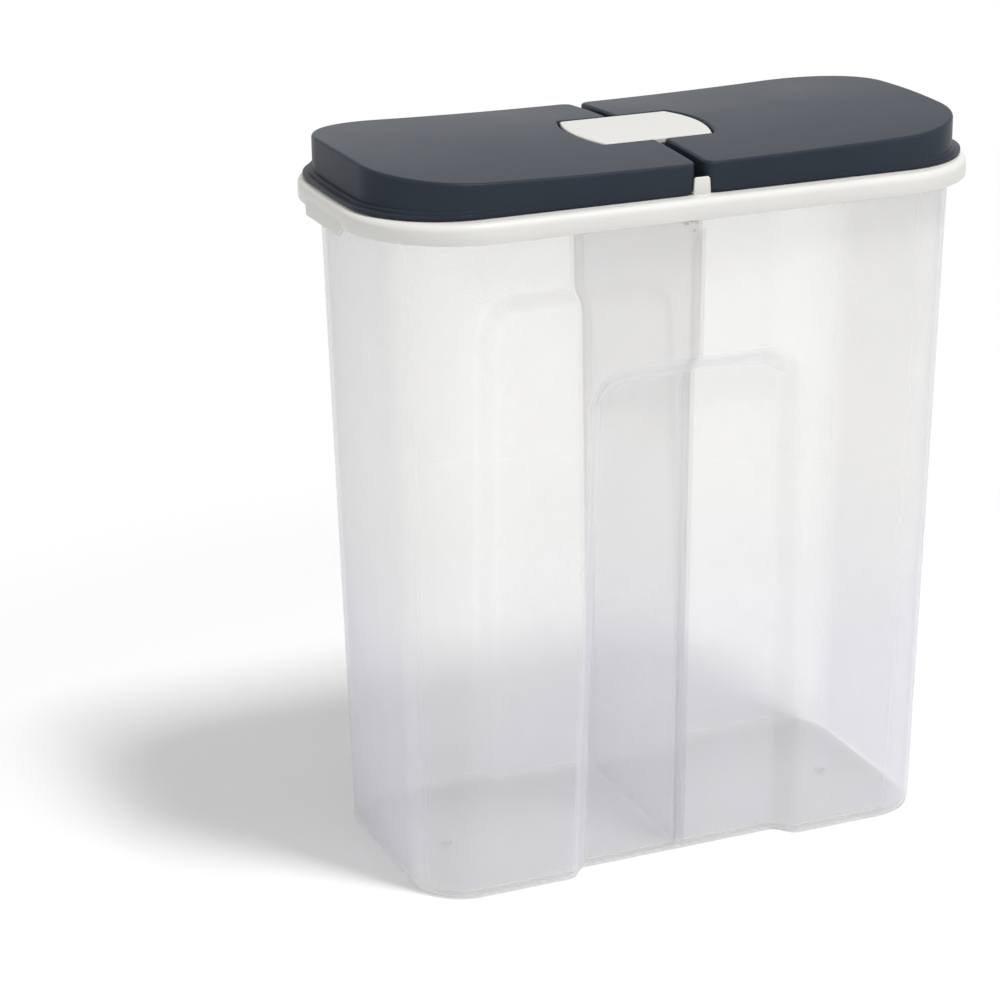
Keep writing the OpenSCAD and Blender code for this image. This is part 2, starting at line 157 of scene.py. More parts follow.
@dataclass(frozen=True)
class SatinPolypropylene:
    """Injection-moulded opaque polypropylene with a spark-eroded satin face.

    The mould's fine texture scatters the highlight, and the melt's flow leaves very faint
    clouds of shade and gloss some centimetres across.
    """

    name: str
    colour: str
    cloud_colour: str
    specular: float
    roughness: float = 0.36
    duller: float = 0.05
    glossier: float = 0.03
    grain_mm: float = 0.8
    grain_depth_mm: float = 0.012
    cloud_mm: float = 45.0

    def material(self) -> Material:
        """Builds the node material.

        Returns:
            The material.
        """
        material, tree, output = new_material(self.name)
        place = (add_node(tree, "ShaderNodeTexCoord", {}, {}), "Object")
        wide = {"Scale": 1 / (self.cloud_mm * MM), "Detail": 3.0}
        cloud = (add_node(tree, "ShaderNodeTexNoise", wide, {"Vector": place}), "Fac")
        tint = add_ramp(tree, cloud, [(0.3, linear(self.colour)), (0.75, linear(self.cloud_colour))])
        ends = (self.roughness - self.glossier, self.roughness + self.duller)
        gloss = add_range(tree, cloud, (0.2, 0.8), ends)
        # The texture is really about 0.1 mm fine; it is drawn coarser so that it shows.
        fine = {"Scale": 1 / (self.grain_mm * MM), "Detail": 2.0}
        grain = add_node(tree, "ShaderNodeTexNoise", fine, {"Vector": place})
        depth = {"Strength": 0.5, "Distance": self.grain_depth_mm * MM}
        bump = add_node(tree, "ShaderNodeBump", depth, {"Height": (grain, "Fac")})
        shader = add_node(
            tree,
            "ShaderNodeBsdfPrincipled",
            {"IOR": POLYPROPYLENE_IOR, "Specular IOR Level": self.specular},
            {"Base Color": (tint, "Color"), "Roughness": (gloss, "Result"), "Normal": (bump, "Normal")},
        )
        tree.links.new(shader.outputs["BSDF"], output.inputs["Surface"])
        return material


@dataclass(frozen=True)
class NaturalPolypropylene:
    """Unpigmented injection-moulded polypropylene, a cloudy half-clear wall.

    Spherulites in the plastic scatter some of the light, so the wall is milky, and milkier
    where it is seen at a glancing angle, because more plastic is in the way.
    """

    name: str
    high_colour: str
    low_shade_colour: str
    milk_facing: float
    milk_edge: float
    edge_shade_colour: str = "D2D1E0"
    onward: float = 0.08
    roughness: float = 0.15
    height_mm: float = 266.0
    cloud_scale: float = 28.0
    cloudiness: float = 0.02

    def tint(self, tree: NodeTree, place: Link, facing: Link) -> Node:
        """Adds the wall's colour.

        The lower half is painted a little bluer, as painted shade for the shadow and dim floor seen
        through the walls; the bottom few millimetres, the tub's floor, keep the lighter top colour as
        painted light where the lid keeps the lamps off. Rounded edges and walls seen along their length
        are painted a little darker and bluer, as painted shade for the lines that refraction draws there.

        Args:
            tree: The material's tree.
            place: The object coordinates.
            facing: How far the face turns away from the line of sight.

        Returns:
            The mixing node, whose colour is output 2.
        """
        split = add_node(tree, "ShaderNodeSeparateXYZ", {}, {"Vector": place})
        height = add_range(tree, (split, "Z"), (0.0, self.height_mm * MM))
        # Painted shade and light: the lower half takes the bluer low colour as painted shade, and the floor
        # keeps the top colour as painted light.
        high, low = linear(self.high_colour), linear(self.low_shade_colour)
        tint = add_ramp(tree, (height, "Result"), [(0.012, high), (0.02, low), (0.3, low), (0.52, high)])
        # Painted shade: glancing faces and rounded edges are mixed towards the darker, bluer edge colour, for
        # the lines that refraction draws there.
        edge_shade_mask = add_node(tree, "ShaderNodeMath", {"operation": "POWER", 1: 2.0}, {0: facing})
        edge = {"data_type": "RGBA", 7: linear(self.edge_shade_colour)}
        return add_node(tree, "ShaderNodeMix", edge, {0: (edge_shade_mask, "Value"), 6: (tint, "Color")})

    def material(self) -> Material:
        """Builds the node material.

        Returns:
            The material.
        """
        material, tree, output = new_material(self.name)
        place = (add_node(tree, "ShaderNodeTexCoord", {}, {}), "Object")
        facing = (add_node(tree, "ShaderNodeLayerWeight", {"Blend": 0.35}, {}), "Facing")
        tint = (self.tint(tree, place, facing), 2)
        flow = {"Scale": self.cloud_scale, "Detail": 4.0, "Roughness": 0.6}
        cloud = add_node(tree, "ShaderNodeTexNoise", flow, {"Vector": place})
        uneven = add_range(tree, (cloud, "Fac"), (0.3, 0.7), (-self.cloudiness, self.cloudiness))
        haze = add_range(tree, facing, (0.0, 1.0), (self.milk_facing, self.milk_edge))
        both = {0: (haze, "Result"), 1: (uneven, "Result")}
        milk = add_node(tree, "ShaderNodeMath", {"operation": "ADD"}, both)
        # A part of what the cloudy plastic scatters goes on to the far side of the wall.
        gloss = {"Roughness": self.roughness, "IOR": POLYPROPYLENE_IOR}
        back = add_node(tree, "ShaderNodeBsdfPrincipled", gloss, {"Base Color": tint})
        onward = add_node(tree, "ShaderNodeBsdfTranslucent", {}, {"Color": tint})
        share = {0: self.onward}
        scatter = add_node(tree, "ShaderNodeMixShader", share, {1: (back, "BSDF"), 2: (onward, "BSDF")})
        clear = add_node(tree, "ShaderNodeBsdfTransparent", {}, {})
        layers = {0: (milk, "Value"), 1: (clear, "BSDF"), 2: (scatter, "Shader")}
        wall = add_node(tree, "ShaderNodeMixShader", {}, layers)
        tree.links.new(wall.outputs["Shader"], output.inputs["Surface"])
        return material


# ---- Outlines and meshes ----


def smooth_step(t: np.ndarray | float) -> np.ndarray | float:
    """Eases 0 to 1 with level ends."""
    u = np.clip(t, 0.0, 1.0)
    return u * u * (3 - 2 * u)


def arc(cx: float, cy: float, radius: float, start: float, sweep: float, steps: int) -> Plan:
    """Points round (cx, cy), both ends included, from start through sweep degrees in steps."""
    angles = np.radians(start + sweep * np.arange(steps + 1) / steps)
    return np.stack([cx + radius * np.cos(angles), cy + radius * np.sin(angles)], axis=1)


def rounding(radius: float | np.ndarray, steps: int) -> list[tuple]:
    """Pairs of inset from the wall and drop below the top that follow a rounded edge."""
    angles = [math.radians(90 * k / steps) for k in range(steps + 1)]
    return [(radius * (1 - math.cos(t)), radius * (1 - math.sin(t))) for t in angles]


def spaced(outline: Plan, step: float) -> Plan:
    """Drops repeated points of a closed outline and splits its long sides.

    Args:
        outline: The outline.
        step: Longest side that stays whole.

    Returns:
        The outline with points added on its sides.
    """
    outline = outline[np.linalg.norm(outline - np.roll(outline, 1, axis=0), axis=1) > 1e-4]
    rows = []
    for a, b in zip(outline, np.roll(outline, -1, axis=0)):
        count = max(1, math.ceil(np.linalg.norm(b - a) / step))
        rows += [a + (b - a) * k / count for k in range(count)]
    return np.array(rows)


def between(a: tuple, b: tuple, count: int) -> Plan:
    """The inner points of a straight stretch from a to b, cut into count steps."""
    t = np.arange(1, count)[:, None] / count
    return np.array(a) + (np.array(b) - np.array(a)) * t


def outward(outline: Plan) -> Plan:
    """Finds the mitred normals of a closed anticlockwise outline.

    Args:
        outline: The outline.

    Returns:
        One row for each point, pointing outwards.
    """
    ahead = np.roll(outline, -1, axis=0) - outline
    ahead /= np.linalg.norm(ahead, axis=1, keepdims=True)
    normal = np.stack([ahead[:, 1], -ahead[:, 0]], axis=1)
    mean = normal + np.roll(normal, 1, axis=0)
    mean /= np.linalg.norm(mean, axis=1, keepdims=True)
    return mean / np.clip((mean * normal).sum(axis=1, keepdims=True), 0.5, 1.0)


def rounded_rect(length: float, width: float, radius: float, steps: int) -> Plan:
    """Draws a centred rounded rectangle, anticlockwise from +X.

    Args:
        length: Size along X.
        width: Size along Y.
        radius: Corner radius.
        steps: Straight steps in each corner.

    Returns:
        The outline.
    """
    x, y = length / 2 - radius, width / 2 - radius
    corners = [(x, y, 0), (-x, y, 90), (-x, -y, 180), (x, -y, 270)]
    return np.concatenate([arc(cx, cy, radius, start, 90, steps) for cx, cy, start in corners])


def lifted(plan: Plan, z: float | np.ndarray) -> Ring:
    """The outline as a ring at height z, one number or one for each point."""
    return np.column_stack([plan, np.broadcast_to(z, len(plan))])


def inside(points: Plan, outlines: list[Plan]) -> np.ndarray:
    """Tests which points lie inside a closed outline and outside its holes.

    Args:
        points: Points to test.
        outlines: The outline, then its holes.

    Returns:
        One truth value for each point.
    """
    result = np.zeros(len(points), bool)
    for outline in outlines:
        for a, b in zip(outline, np.roll(outline, -1, axis=0)):
            if a[1] != b[1]:
                crosses = (a[1] > points[:, 1]) != (b[1] > points[:, 1])
                at = a[0] + (points[:, 1] - a[1]) * (b[0] - a[0]) / (b[1] - a[1])
                result ^= crosses & (points[:, 0] < at)
    return result


class MeshDraft:
    """Gathers points in millimetres and faces, and becomes one Blender object."""

    def __init__(self) -> None:
        """Starts empty."""
        self.points: list[tuple[float, float, float]] = []
        self.faces: list[tuple[int, ...]] = []

    def ring(self, ring: Ring) -> list[int]:
        """Adds a ring's points.

        Args:
            ring: The points.

        Returns:
            Their numbers.
        """
        first = len(self.points)
        self.points += [tuple(p) for p in ring]
        return list(range(first, first + len(ring)))

    def bridge(self, low: list[int], high: list[int]) -> None:
        """Joins two rings by quads that face outwards where high follows low."""
        for i, j in zip(range(len(low)), [*range(1, len(low)), 0]):
            self.faces.append((low[i], low[j], high[j], high[i]))

    def rails(self, rings: list[Ring], closed: bool = False) -> list[list[int]]:
        """Skins a stack of rings.

        Args:
            rings: Rings of equal count.
            closed: Whether the last ring is joined to the first.

        Returns:
            The point numbers of each ring.
        """
        loops = [self.ring(ring) for ring in rings]
        for low, high in zip(loops, loops[1:]):
            self.bridge(low, high)
        if closed:
            self.bridge(loops[-1], loops[0])
        return loops

    def fan(self, loop: list[int], tip: tuple[float, float, float], up: bool) -> None:
        """Closes a loop with triangles to one point.

        Args:
            loop: The loop's point numbers.
            tip: The point.
            up: Whether the triangles look up.
        """
        centre = self.ring(np.array([tip]))[0]
        for a, b in zip(loop, loop[1:] + loop[:1]):
            self.faces.append((a, b, centre) if up else (b, a, centre))

    def fill(
        self, loops: list[list[int]], up: bool, surface: Callable | None = None, spacing: float = 0.0
    ) -> None:
        """Fills the area between an outer loop and holes, through a grid on a curved surface.

        Args:
            loops: Point numbers of the outer loop, then of each hole.
            up: Whether the faces look up.
            surface: Height at (x, y) for the grid's points.
            spacing: Distance between the grid's points, or 0 for none.
        """
        outlines = [np.array([self.points[i][:2] for i in loop]) for loop in loops]
        numbers = [i for loop in loops for i in loop]
        plan = np.concatenate(outlines)
        edges, first = [], 0
        for outline in outlines:
            edges += closed_edges(first, len(outline))
            first += len(outline)
        if spacing:
            low, high = outlines[0].min(axis=0), outlines[0].max(axis=0)
            xs = np.arange(low[0] + spacing / 2, high[0], spacing)
            ys = np.arange(low[1] + spacing / 2, high[1], spacing)
            grid = np.array([(x, y) for x in xs for y in ys])
            grid = grid[inside(grid, outlines)]
            grid = grid[np.array([np.min(np.hypot(*(plan - p).T)) for p in grid]) > 0.45 * spacing]
            numbers += self.ring(lifted(grid, surface(grid[:, 0], grid[:, 1])))
            plan = np.concatenate([plan, grid])
        verts, _, faces, origins = delaunay_2d_cdt([Vector(p) for p in plan], edges, [], 0, 1e-5)[:4]
        centres = np.array([np.mean([verts[i][:] for i in face], axis=0) for face in faces])
        for face, kept in zip(faces, inside(centres, outlines)):
            if kept:
                corners = [numbers[origins[i][0]] for i in face]
                self.faces.append(tuple(corners if up else corners[::-1]))

    def plate(self, outline: Plan, thickness: float, edge: float, place: Placing) -> None:
        """Adds a flat plate with rounded edges.

        Args:
            outline: Its outline, anticlockwise as seen from its front.
            thickness: Its thickness.
            edge: Radius along both edges.
            place: Turns (outline ring with depth) rows into (x, y, z) rows.
        """
        normal = outward(outline)
        half = thickness / 2
        turn = rounding(edge, 3)
        rings = [lifted(outline - normal * inset, drop - half) for inset, drop in turn[::-1]]
        rings += [lifted(outline - normal * inset, half - drop) for inset, drop in turn]
        flat = MeshDraft()
        loops = flat.rails(rings)
        flat.fill([loops[0]], False)
        flat.fill([loops[-1]], True)
        self.add(place(np.array(flat.points)), flat.faces)

    def add(self, points: Ring, faces: list[tuple[int, ...]]) -> None:
        """Adds points in millimetres, and faces numbered from the first of them."""
        first = self.ring(points)[0]
        self.faces += [tuple(i + first for i in face) for face in faces]

    def absorb(self, mesh: Mesh) -> None:
        """Adds the faces of a Blender mesh, which is in metres."""
        points = np.array([v.co[:] for v in mesh.vertices]) / MM
        self.add(points, [tuple(face.vertices) for face in mesh.polygons])

    def finished(self, name: str, material: Material, crease: float = 32.0) -> Object:
        """Turns the draft into an object with smooth faces and sharp creases.

        Args:
            name: The object's name.
            material: Its material.
            crease: Angle in degrees past which an edge is drawn sharp.

        Returns:
            The object, at the origin, linked to the scene.
        """
        mesh = bpy.data.meshes.new(name)
        mesh.from_pydata([(x * MM, y * MM, z * MM) for x, y, z in self.points], [], self.faces)
        form = bmesh.new()
        form.from_mesh(mesh)
        bmesh.ops.dissolve_degenerate(form, dist=1e-7, edges=form.edges)
        for face in form.faces:
            face.smooth = True
        for edge in form.edges:
            edge.smooth = len(edge.link_faces) == 2 and edge.calc_face_angle(0.0) < math.radians(crease)
        open_edges = sum(len(edge.link_faces) != 2 for edge in form.edges)
        volume = form.calc_volume(signed=True) / MM**3
        LOG.info("%s: %d faces, %d open edges, %.0f mm3", name, len(form.faces), open_edges, volume)
        form.to_mesh(mesh)
        form.free()
        mesh.materials.append(material)
        item = bpy.data.objects.new(name, mesh)
        bpy.context.scene.collection.objects.link(item)
        return item


def closed_edges(first: int, count: int) -> list[tuple[int, int]]:
    """The edges of a closed loop of count points, numbered from first."""
    return [(first + i, first + (i + 1) % count) for i in range(count)]


def along_y(rows: np.ndarray) -> np.ndarray:
    """Places a plate drawn in (x, z) with its thickness along Y."""
    return np.stack([rows[:, 0], -rows[:, 2], rows[:, 1]], axis=1)


def along_x(rows: np.ndarray) -> np.ndarray:
    """Places a plate drawn in (y, z) with its thickness along X."""
    return np.stack([rows[:, 2], rows[:, 0], rows[:, 1]], axis=1)


def shifted(place: Placing, x: float = 0.0, y: float = 0.0) -> Placing:
    """A placing followed by a shift."""
    return lambda rows: place(rows) + np.array([x, y, 0.0])


# ---- Geometry node trees ----


class MouldingTree:
    """A geometry node tree with named sizes and a material, which is run on points and edges."""

    def __init__(self, name: str, sizes: tuple[str, ...]) -> None:
        """Makes the tree and its sockets.

        Args:
            name: The tree's name.
            sizes: Names of its sizes.
        """
        self.tree = bpy.data.node_groups.new(name, "GeometryNodeTree")
        face = self.tree.interface
        kinds = {"Geometry": "Geometry"} | dict.fromkeys(sizes, "Float") | {"Material": "Material"}
        self.sockets = {
            label: face.new_socket(label, in_out="INPUT", socket_type=f"NodeSocket{kind}").identifier
            for label, kind in kinds.items()
        }
        face.new_socket("Geometry", in_out="OUTPUT", socket_type="NodeSocketGeometry")
        self.given = self.node("NodeGroupInput", {}, {})

    def node(self, kind: str, settings: dict, links: dict[str, Link]) -> Node:
        """Adds a node to the tree, as add_node does."""
        return add_node(self.tree, kind, settings, links)

    def close(self, last: Link) -> None:
        """Makes real what the tree has built, gives it the material and puts it out.

        Args:
            last: The node and output with the geometry.
        """
        real = self.node("GeometryNodeRealizeInstances", {}, {"Geometry": last})
        skin = {"Geometry": (real, "Geometry"), "Material": (self.given, "Material")}
        dressed = self.node("GeometryNodeSetMaterial", {}, skin)
        self.node("NodeGroupOutput", {}, {"Geometry": (dressed, "Geometry")})

    def run(
        self, points: Ring, edges: list[tuple[int, int]], sizes: dict[str, float], finish: Material
    ) -> Mesh:
        """Runs the tree and bakes the result.

        Args:
            points: The points it works on, in millimetres.
            edges: Their edges.
            sizes: Its sizes by name, in millimetres.
            finish: The material.

        Returns:
            A plain mesh in metres.
        """
        mesh = bpy.data.meshes.new(self.tree.name)
        mesh.from_pydata((points * MM).tolist(), edges, [])
        holder = bpy.data.objects.new(mesh.name, mesh)
        bpy.context.scene.collection.objects.link(holder)
        step = holder.modifiers.new("nodes", "NODES")
        step.node_group = self.tree
        for label, value in sizes.items():
            step[self.sockets[label]] = value * MM
        step[self.sockets["Material"]] = finish
        graph = bpy.context.evaluated_depsgraph_get()
        result = bpy.data.meshes.new_from_object(holder.evaluated_get(graph), depsgraph=graph)
        bpy.data.objects.remove(holder)
        return result


class SweptRim(MouldingTree):
    """Geometry nodes that draw an upright wall of one rounded section along flat loops."""

    def __init__(self) -> None:
        """Builds the tree: loop, rounded section, sweep."""
        super().__init__("upright_rim", ("Thickness", "Height", "Edge Radius"))
        given = self.given
        path = self.node("GeometryNodeMeshToCurve", {}, {"Mesh": (given, "Geometry")})
        level = self.node("GeometryNodeSetCurveNormal", {"mode": "Z_UP"}, {"Curve": (path, "Curve")})
        sides = {"Width": (given, "Thickness"), "Height": (given, "Height")}
        box = self.node("GeometryNodeCurvePrimitiveQuadrilateral", {}, sides)
        corners = {"Curve": (box, "Curve"), "Radius": (given, "Edge Radius")}
        section = self.node("GeometryNodeFilletCurve", {"mode": "POLY", "Count": 3}, corners)
        curves = {"Curve": (level, "Curve"), "Profile Curve": (section, "Curve")}
        sweep = self.node("GeometryNodeCurveToMesh", {}, curves)
        self.close((sweep, "Mesh"))

    def build(
        self, loops: list[Ring], thickness: float, height: float, edge: float, finish: Material
    ) -> Mesh:
        """Sweeps the wall along loops.

        Args:
            loops: Middle lines of the wall, at half its height.
            thickness: The wall's thickness.
            height: The wall's height.
            edge: Radius along its edges.
            finish: Its material.

        Returns:
            The wall as a plain mesh in metres.
        """
        edges, first = [], 0
        for loop in loops:
            edges += closed_edges(first, len(loop))
            first += len(loop)
        sizes = {"Thickness": thickness, "Height": height, "Edge Radius": edge}
        return self.run(np.concatenate(loops), edges, sizes, finish)


class PinSet(MouldingTree):
    """Geometry nodes that set a moulded pin, lying along Y, on every point."""

    def __init__(self) -> None:
        """Builds the tree: cylinder, instanced on the points."""
        super().__init__("pins_on_points", ("Radius", "Length"))
        given = self.given
        form = {"Radius": (given, "Radius"), "Depth": (given, "Length")}
        pin = self.node("GeometryNodeMeshCylinder", {"Vertices": 48}, form)
        spots = {"Points": (given, "Geometry"), "Instance": (pin, "Mesh")}
        lying = {"Rotation": (math.pi / 2, 0.0, 0.0)}
        spread = self.node("GeometryNodeInstanceOnPoints", lying, spots)
        self.close((spread, "Instances"))

    def build(self, places: Ring, radius: float, length: float, finish: Material) -> Mesh:
        """Sets one pin with its middle on each place."""
        return self.run(places, [], {"Radius": radius, "Length": length}, finish)


# ---- Mouldings ----


class Side(Enum):
    """The two halves of the lid."""

    LEFT = -1
    RIGHT = 1


@dataclass(frozen=True)
class Tub:
    """The two-compartment tub: drafted walls, a hand grip recess in each long side, guide ribs."""

    base_length: float = 216.0
    base_width: float = 102.0
    corner: float = 22.0
    lean_total: float = 6.3
    height: float = 265.0
    wall: float = 1.6
    floor: float = 2.0
    foot: float = 2.6
    grip_low: float = 99.0
    grip_high: float = 89.0
    grip_height: float = 206.0
    grip_depth: float = 7.0
    shoulder: float = 9.0
    grip_corner: float = 17.0
    rim_thickness: float = 2.6
    rim_length: float = 244.8
    rim_width: float = 120.8
    rim_corner: float = 40.4
    rim_edge: float = 0.5
    lip_chamfer: float = 0.4
    rib_gap: float = 1.6
    rib: float = 1.2
    rib_depth: float = 3.2
    rib_draft: float = 0.3
    rib_top: float = 252.0
    gate_x: float = 83.5
    gate_y: float = -5.0
    gate_radius: float = 2.2
    corner_steps: int = 20
    shoulder_steps: int = 12

    @property
    def lean(self) -> float:
        """Outward lean per millimetre of height."""
        return self.lean_total / self.height

    def grip_half(self, z: float) -> float:
        """Finds half the width of the recess.

        Args:
            z: Height.

        Returns:
            The half width there.
        """
        arch = self.grip_height - self.grip_corner
        taper = (self.grip_low + (self.grip_high - self.grip_low) * min(z, arch) / arch) / 2
        up = min(max(0.0, z - arch), self.grip_corner)
        return taper - self.grip_corner + math.sqrt(self.grip_corner**2 - up**2)

    def grip_in(self, x: np.ndarray, z: float) -> np.ndarray:
        """Finds the depth of the recess.

        Args:
            x: Places along the long side.
            z: Height.

        Returns:
            The depth at each place.
        """
        arch = self.grip_height - self.grip_corner
        if z > self.grip_height:
            return np.zeros_like(x)
        if z < arch:
            to_edge = self.grip_half(z) - np.abs(x)
        else:
            past = np.maximum(0.0, np.abs(x) - (self.grip_high / 2 - self.grip_corner))
            to_edge = self.grip_corner - np.hypot(past, z - arch)
        return self.grip_depth * smooth_step(to_edge / self.shoulder)

    def side(self, z: float, half: float, start: float, rib: float) -> Plan:
        """Draws one quarter of the long sides, from the corner to x = 0.

        Args:
            z: Height of the section.
            half: Half width of the section where there is no recess.
            start: Where the corner's arc ends.
            rib: How far the guide rib stands in.

        Returns:
            The points, from +X inwards, on the +Y side.
        """
        edge = max(self.grip_half(z), self.grip_high / 2 - self.grip_corner)
        inner = self.rib_gap / 2
        outer = inner + self.rib
        xs = np.concatenate([
            np.linspace(start, edge, 7)[1:-1],
            np.linspace(edge, edge - self.shoulder, self.shoulder_steps + 1),
            np.linspace(edge - self.shoulder, outer + 0.5, 6)[1:-1],
        ])
        ys = half - self.grip_in(xs, z)
        y = half - float(self.grip_in(np.array([0.0]), z)[0])
        slack = 0.0 if rib else self.rib_draft
        ribs = [[outer + 0.5, y], [outer - slack, y - rib], [inner + slack, y - rib], [inner, y]]
        return np.concatenate([np.stack([xs, ys], axis=1), ribs])

    def whole(self, cx: float, cy: float, radius: float, z: float, rib: float) -> Plan:
        """Draws a whole section, mirrored from its quarter.

        Args:
            cx: Centre of the corner's arc, x.
            cy: Centre of the corner's arc, y.
            radius: The corner's radius.
            z: Height of the section.
            rib: How far the guide ribs stand in.

        Returns:
            The outline.
        """
        corner = arc(cx, cy, radius, 0, 90, self.corner_steps)
        quarter = np.concatenate([corner, self.side(z, cy + radius, cx, rib)])
        back = np.concatenate([quarter, quarter[::-1] * [-1, 1]])
        return np.concatenate([back, back[::-1] * [1, -1]])

    def section(self, z: float, inset: float, rib: float = 0.0) -> Plan:
        """The walls' plan at height z, pulled in by inset, with guide ribs that stand in by rib."""
        cx, cy = self.base_length / 2 - self.corner, self.base_width / 2 - self.corner
        return self.whole(cx, cy, self.corner + self.lean * z - inset, z, rib)

    def rim(self, inset: float) -> Plan:
        """The plan of the rim's flange, pulled in by inset."""
        cx, cy = self.rim_length / 2 - self.rim_corner, self.rim_width / 2 - self.rim_corner
        return self.whole(cx, cy, self.rim_corner - inset, self.height, 0.0)

    def levels(self, low: float, high: float) -> list[float]:
        """Spaces the heights of the sections, close together where the recess closes.

        Args:
            low: The lowest.
            high: The highest.

        Returns:
            The heights.
        """
        arch = self.grip_height - self.grip_corner
        return [
            *np.linspace(low, arch - 2, 26),
            *(arch + self.grip_corner * np.sin(np.radians(np.linspace(0, 90, 22)))),
            *np.linspace(self.grip_height + 1.5, high, 6),
        ]

    def build(self, finish: Material) -> Object:
        """Makes the tub as one closed shell: outside, flange, inside with ribs, floor.

        Args:
            finish: Its material.

        Returns:
            The tub.
        """
        top, low_rim, e = self.height, self.height - self.rim_thickness, self.rim_edge
        rings = [lifted(self.section(0, pull), z) for z, pull in rounding(self.foot, 8)[:-1]]
        rings += [lifted(self.section(z, 0), z) for z in self.levels(self.foot, low_rim)]
        rings += [lifted(self.rim(e), low_rim), lifted(self.rim(0), low_rim + e)]
        for t in (0, 0.5, 1.0, math.pi / 2):
            rings.append(lifted(self.rim(e * (1 - math.cos(t))), top - e * (1 - math.sin(t))))
        rings.append(lifted(self.section(top, self.wall - self.lip_chamfer), top))
        # The ribs run out between 2 mm over their tops and the tops themselves.
        over_ribs = (top - self.lip_chamfer, self.rib_top + 6, self.rib_top + 2)
        rings += [lifted(self.section(z, self.wall), z) for z in over_ribs]
        inner_foot = self.foot - 1
        down = self.levels(self.floor + inner_foot, self.rib_top)[::-1]
        rings += [lifted(self.section(z, self.wall, self.rib_depth), z) for z in down]
        for up, pull in rounding(inner_foot, 8)[-2::-1]:
            z = self.floor + up
            rings.append(lifted(self.section(z, self.wall + pull, self.rib_depth), z))
        draft = MeshDraft()
        loops = draft.rails(rings)
        draft.fan(loops[0], (0, 0, 0), False)
        draft.fan(loops[-1], (0, 0, self.floor), True)
        for x in (-self.gate_x, self.gate_x):
            self.gate_mark(draft, x)
        return draft.finished("tub_shell", finish)

    def gate_mark(self, draft: MeshDraft, x: float) -> None:
        """Adds a round gate mark, where the melt came in, on the floor of one compartment.

        Args:
            draft: The tub's mesh.
            x: Its place along the tub.
        """
        ring = arc(x, self.gate_y, self.gate_radius, 0, 360, 24)[:-1]
        low, high = self.floor - 0.3, self.floor + 0.7
        steps = [(0.0, low), (0.0, high - 0.2), (0.25, high)]
        normal = outward(ring)
        loops = draft.rails([lifted(ring - normal * inset, z) for inset, z in steps])
        draft.fan(loops[0], (x, self.gate_y, low), False)
        draft.fan(loops[-1], (x, self.gate_y, high), True)


@dataclass(frozen=True)
class Divider:
    """The loose wall between the compartments, held by the tub's guide ribs."""

    tub: Tub
    thickness: float = 1.6
    top: float = 258.6
    edge: float = 0.35

    def outline(self) -> Plan:
        """Draws it in (y, z), following the tub's inside and its recesses.

        Returns:
            The outline.
        """
        tub = self.tub
        half = tub.base_width / 2 - tub.wall
        arch = np.linspace(tub.grip_height - tub.shoulder, tub.grip_height, 19)
        right = [[half - tub.grip_depth - tub.foot, tub.floor]]
        for z in (tub.floor + tub.foot, *arch, self.top):
            right.append([half + tub.lean * z - float(tub.grip_in(np.zeros(1), z)[0]), z])
        return np.concatenate([right, np.array(right)[::-1] * [-1, 1]])

    def build(self, finish: Material) -> Object:
        """Makes the plate with softened edges.

        Args:
            finish: Its material.

        Returns:
            The divider.
        """
        draft = MeshDraft()
        draft.plate(self.outline(), self.thickness, self.edge, along_x)
        return draft.finished("divider_wall", finish)


@dataclass(frozen=True)
class LidSizes:
    """Sizes that the lid frame, the hinge cover and the flaps share."""

    deck_low: float = 265.0
    deck_top: float = 267.0
    mouth_near: float = 32.0
    mouth_far: float = 106.0
    mouth_width: float = 92.0
    mouth_near_corner: float = 9.0
    mouth_far_corner: float = 24.0
    flap_low: float = 267.4
    flap_height: float = 11.1
    flap_crown: float = 2.1
    flap_rise: float = 2.8
    flap_reach: float = 119.6
    flap_width: float = 113.6
    hinge_offset: float = 5.0
    axis_z: float = 275.5
    pin_radius: float = 2.0
    pin_clearance: float = 0.08
    pin_inner: float = 16.6
    cheek_out: float = 19.8
    cheek: float = 2.8
    cover_length: float = 52.0
    cover_width: float = 41.0
    cover_bulge: float = 4.2
    cover_low: float = 278.2

    def top_z(self, x: np.ndarray, y: np.ndarray) -> np.ndarray:
        """Height of the flaps' outer surface: crowned across, rising along."""
        crown = self.flap_crown * (1 - (2 * y / self.flap_width) ** 2)
        return self.flap_low + self.flap_height + crown + self.flap_rise * (x / self.flap_reach) ** 2

    def under_top(self, plan: Plan, drop: float) -> Ring:
        """The plan laid under the flaps' outer surface, drop below it."""
        return lifted(plan, self.top_z(plan[:, 0], plan[:, 1]) - drop)

    def mouth(self, grow: float, side: Side, step: float = 6.0) -> Plan:
        """Draws one pouring opening.

        Args:
            grow: How far it is grown outwards.
            side: The half of the lid that it is in.
            step: Longest straight side.

        Returns:
            The outline.
        """
        near_r, far_r = self.mouth_near_corner + grow, self.mouth_far_corner + grow
        near, far = self.mouth_near - grow + near_r, self.mouth_far + grow - far_r
        half = self.mouth_width / 2 + grow
        plan = np.concatenate([
            arc(far, half - far_r, far_r, 0, 90, 16),
            arc(near, half - near_r, near_r, 90, 90, 10),
            arc(near, -half + near_r, near_r, 180, 90, 10),
            arc(far, -half + far_r, far_r, 270, 90, 16),
        ])
        return spaced(plan if side is Side.RIGHT else plan[::-1] * [-1, 1], step)

    def cover_end(self, grow: float) -> tuple[float, float]:
        """Finds the arc that ends the hinge cover's plan.

        Args:
            grow: How far the end is moved outwards.

        Returns:
            The arc's centre on the X axis, and its radius.
        """
        chord = self.cover_width / 2
        radius = (chord**2 + self.cover_bulge**2) / (2 * self.cover_bulge)
        return self.cover_length / 2 + grow - radius, radius


